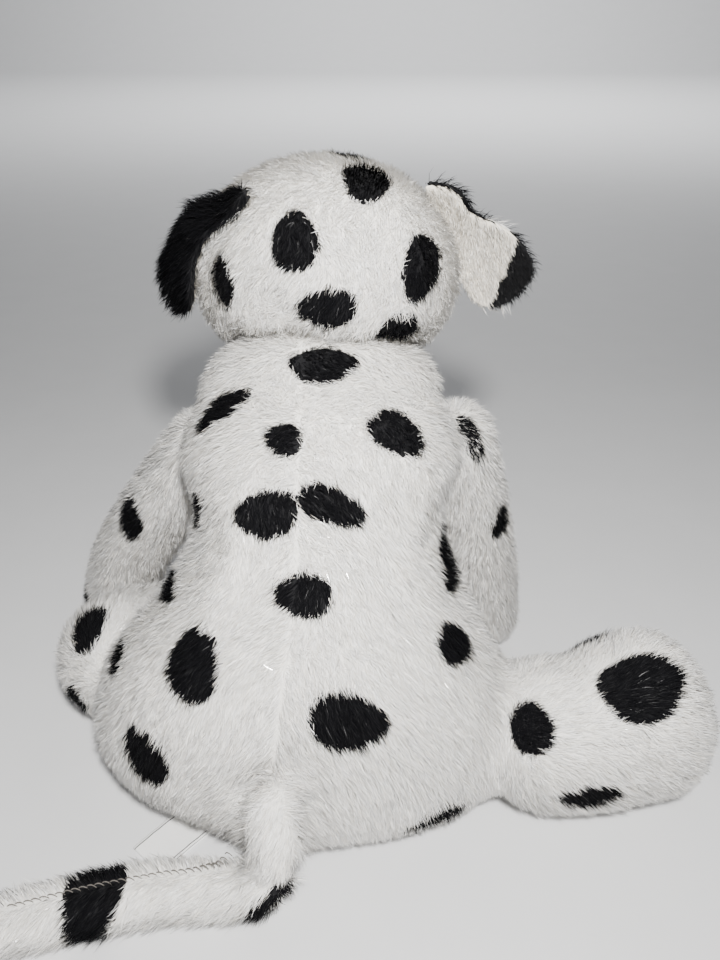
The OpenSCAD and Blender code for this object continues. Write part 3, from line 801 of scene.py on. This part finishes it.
def stitched_seam():
    """The closing seam along the top of the tail: small slanted stitches of dark thread."""
    pitch, thread, sides = 2.3, 0.20, 6
    skin = tail_surface[0]
    line = tail_line()
    way = unit(np.gradient(line, axis=0))
    across = unit(np.cross(way, TAIL_UP))
    up = np.cross(across, way)
    gone = np.concatenate([[0], np.cumsum(np.linalg.norm(np.diff(line, axis=0), axis=1))])
    points, faces = [], []
    rng = np.random.default_rng(77)
    for at in np.arange(34, gone[-1] - 7, pitch):
        here, w, a, u = (np.array([np.interp(at, gone, x[:, k]) for k in range(3)])
                         for x in (line, way, across, up))
        shell = skin[((skin - here) ** 2).sum(1) < 15 ** 2]
        height = ((shell - here) @ u)[np.abs((shell - here) @ a) < 2.5].max()
        slant = 1.5 * w + rng.uniform(0.5, 0.9) * a
        for k, lift in ((-1, 0.0), (-0.5, 0.6), (0, 0.8), (0.5, 0.6), (1, 0.0)):
            middle = here + u * (height + lift) + slant * k
            start = len(points)
            for j in range(sides):
                b = 2 * math.pi * j / sides
                points.append(middle + thread * (math.cos(b) * a + math.sin(b) * u))
            if k > -1:
                last = start - sides
                faces += [[last + j, last + (j + 1) % sides, start + (j + 1) % sides, start + j]
                          for j in range(sides)]
    made = object_from("tail_seam", np.array(points), [np.array(faces)], [SEAM_THREAD])
    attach(made, "tail")


stitched_seam()


# ---------------------------------------------------------------- ears
head_tree = surface_tree(*head_surface[:2])


def to_the_head(p, root, hug):
    """Draws the sewn end of an ear, within hug of its root, down onto the head."""
    found = [head_tree.find_nearest(q) for q in p]
    away = p - np.array([f[0] for f in found])
    gap = np.array([f[3] for f in found])
    far = np.linalg.norm(p - root, axis=1)
    share = np.interp(gap, [4, 20], [1, 0]) * np.interp(far, [hug, 2 * hug], [1, 0])
    return p - unit(away) * (np.clip(gap - 0.3, 0, 6) * share)[:, None]


CLOTH_GAP = {"outer": 0.4, "lining": 0.85}  # from the other layer to the face that carries pile


def ear(side, spots, wrapped, black, hug, seed):
    """The two sewn layers of an ear, each a sheet with pile on its own outer face.
    wrapped says where the outer cloth comes round onto the lining."""
    body = f"ear_{side}"
    root = pivot(f"ear_{side}_flap")
    layers = {x: read_mesh(bpy.data.objects[f"ear_{side}_{x}"].data)[:2] for x in CLOTH_GAP}
    layers = {x: (to_the_head(p, root, hug), t) for x, (p, t) in layers.items()}
    for layer, other in (("outer", "lining"), ("lining", "outer")):
        node = f"ear_{side}_{layer}"
        p, t, _ = read_mesh(bpy.data.objects[node].data)
        made = object_from(node + "_cloth", p, [t], [BACKING if layer == "outer" else LINING])
        p, t = voxelled(made, 0.6)
        write_points(made.data, to_the_head(relax(p, t, 14), root, hug))
        smooth_shaded(made)
        surface = p, t, n = read_mesh(made.data)
        slot = "ear_lining" if layer == "lining" else "black_plush" if black else "spotted_plush"
        stands_for(made, body, slot, node)
        tree = surface_tree(*layers[other])

        def outside(c, f, tree=tree, gap=CLOTH_GAP[layer]):
            """The face that looks away from the other layer, and the rim of the outer layer."""
            return np.array([tree.find_nearest(q)[3] > gap for q in c], float)

        comb = along(root, p[np.linalg.norm(p - root, axis=1).argmax()])
        if layer == "outer":
            placed = place_spots(surface, spots)
            mark_skin(made, placed)
            if black:
                made.data.attributes["spot"].data.foreach_set("value", np.ones(len(p), np.float32))
            grow(f"ear_{side}_pile", surface, body, outside, comb, placed, density=4.3,
                 length=5.0, lift=30, seed=seed, all_black=black)
        else:
            made.data.attributes.new("spot", "FLOAT", "POINT").data.foreach_set(
                "value", wrapped(p, n).astype(np.float32))
            grow(f"ear_{side}_nap", surface, body, outside, comb, [], density=5.0, length=2.0,
                 lift=38, width=0.2, seed=seed + 1, tones=LINING_PILE, dark=wrapped)


def wrapped_left(p, n):
    """The black cloth comes round the edge that is seen from behind."""
    return n[:, 1] < -0.1


TIP_X = node_box("ear_right_outer")[1, 0] - 7.5  # where the right ear's black tip starts


def wrapped_right(p, n):
    """The black spot of the outer cloth comes round the ear's tip."""
    return p[:, 0] - 0.25 * (p[:, 2] - 178) + 0.8 * waves(p, 9, 64) > TIP_X


ear("left", [], wrapped_left, True, 11, 61)
ear("right", [(46, 66, 200, 18, 9, -30), (78, 62, 172, 11, 17, 0)], wrapped_right,
    False, 26, 63)

# ---------------------------------------------------------------- filling, label and face
def lumpy(name, body, material, slot, seed, voxel=2.6, depth=0.9):
    """A filling: its outside follows the skin, with the lumps and hollows of loose filling."""
    p, t, _ = read_mesh(bpy.data.objects[name].data)
    made = object_from(name + "_soft", p, [t], [material])
    p, t = voxelled(made, voxel)
    p = relax(p, t, 5)
    write_points(made.data, p)
    n = read_mesh(made.data)[2]
    lumps = 1 + 0.6 * waves(p, 17, seed) + 0.4 * waves(p, 7, seed + 1)
    write_points(made.data, p - n * (depth * np.clip(lumps, 0, 2.2))[:, None])
    smooth_shaded(made)
    stands_for(made, body, slot, name)


for body, nodes in record["behaviour"]["bodies"].items():
    for node in nodes:
        if node.endswith("stuffing"):
            lumpy(node, body, FIBREFILL, "fibre_filling", 81)
lumpy("pellet_pouch", "torso", POUCH, "pellet_pouch", 85, depth=0.6)


def ribbon():
    """The folded care label: a blank satin ribbon with a thin woven border, its ends in the seam."""
    box = node_box("care_label")
    across = unit(np.array(joints["care_label_flap"]["axis"]))
    away = unit(np.cross([0, 0, 1.0], across))
    root = pivot("care_label_flap")
    if ((box[0] + box[1])[:2] / 2 - root[:2]) @ away[:2] < 0:
        away = -away
    half, long, steps, fold, curl = 7.4, 25, 16, 0.42, 0.25
    columns = np.array([-half, -6.7, -6.3, -4, -2, 0, 2, 4, 6.3, 6.7, half])
    # (distance from the seam, height above the table): the lower layer, the fold, the upper layer
    profile = [(0.2 + long * k / steps, 0.34 + 0.05 * math.sin(k)) for k in range(steps + 1)]
    profile += [(25.35 + fold * math.sin(a), 0.76 - fold * math.cos(a))
                for a in np.linspace(0.4, 2.7, 5)]
    profile += [(25.2 - long * k / steps,
                 1.2 + 0.5 * math.sin(math.pi * k / steps) + 0.08 * math.sin(1.7 * k))
                for k in range(steps + 1)]
    points = []
    for k, (out, up) in enumerate(profile):
        for c in columns:
            lift = curl * (c / half) ** 2 * min(1, out / 20) * (k > steps + 1)
            points.append(root + away * out + across * c + np.array([0, 0, up - root[2] + lift]))
    wide = len(columns)
    faces, tones = [], []
    for i in range(len(profile) - 1):
        for j in range(wide - 1):
            faces.append([i * wide + j, i * wide + j + 1, (i + 1) * wide + j + 1, (i + 1) * wide + j])
            tones.append(1 if j in (1, wide - 3) else 0)  # the woven border
    made = object_from("care_label_ribbon", np.array(points), [np.array(faces)],
                       [SATIN, LABEL_BORDER], tones)
    solid = made.modifiers.new("thick", "SOLIDIFY")
    solid.thickness, solid.offset = 0.14 * MM, 0
    evaluated(made)
    stands_for(made, "care_label", "label_satin", "care_label")


ribbon()


def moulded_nose():
    """The nose button with its edges rounded over."""
    p, t, _ = read_mesh(bpy.data.objects["nose"].data)
    made = object_from("nose_button", p, [t], [NOSE])
    p, t = voxelled(made, 0.35)
    write_points(made.data, relax(p, t, 70))
    smooth_shaded(made)
    stands_for(made, "head", "nose_plastic", "nose")


moulded_nose()


def stitched_mouth():
    """The mouth's thread, pulled down onto the muzzle's skin."""
    over_skin = 0.75
    p, t, _ = read_mesh(bpy.data.objects["mouth_stitches"].data)
    near = point_tree(p)
    found = [head_tree.find_nearest(Vector(point)) for point in p]
    out = np.array([list(hit[1]) for hit in found])
    height = np.einsum("ij,ij->i", p - np.array([list(hit[0]) for hit in found]), out)
    beside = [[n[1] for n in near.find_range(point, 1.6)] for point in p]
    level = np.array([height[k].mean() for k in beside])
    push = unit(np.array([out[k].mean(axis=0) for k in beside]))
    made = object_from("mouth_thread", p - (level - over_skin)[:, None] * push, [t], [THREAD])
    stands_for(made, "head", "thread", "mouth_stitches")


stitched_mouth()

# ---------------------------------------------------------------- stage
def sweep_stage():
    """A pale paper sweep: a flat floor that curves up far behind the puppy. Places are in metres."""
    floor_start, floor_end, radius, half_width, height = -3.5, 3.0, 0.8, 4.0, 1.0
    profile = [(floor_start, 0.0)]
    profile += [(floor_end + radius * math.sin(a), radius - radius * math.cos(a))
                for a in np.linspace(0, 1.45, 20)]
    profile.append((profile[-1][0] + 0.10, profile[-1][1] + height))
    points = [(x / MM, y / MM, z / MM) for y, z in profile for x in (-half_width, half_width)]
    faces = [[2 * i, 2 * i + 1, 2 * i + 3, 2 * i + 2] for i in range(len(profile) - 1)]
    paper = mottled("paper", (0.69, 0.695, 0.705), (0.71, 0.715, 0.725), 30, 0.75, 0.02)
    object_from("sweep", np.array(points), [np.array(faces)], [paper])


sweep_stage()

# ---------------------------------------------------------------- the hard CAD nodes' materials
for node, material in {"eye_left": EYE, "eye_right": EYE, "eye_washer_left": WASHER,
                       "eye_washer_right": WASHER, "nose_washer": WASHER}.items():
    bpy.data.objects[node].data.materials.clear()
    bpy.data.objects[node].data.materials.append(material)
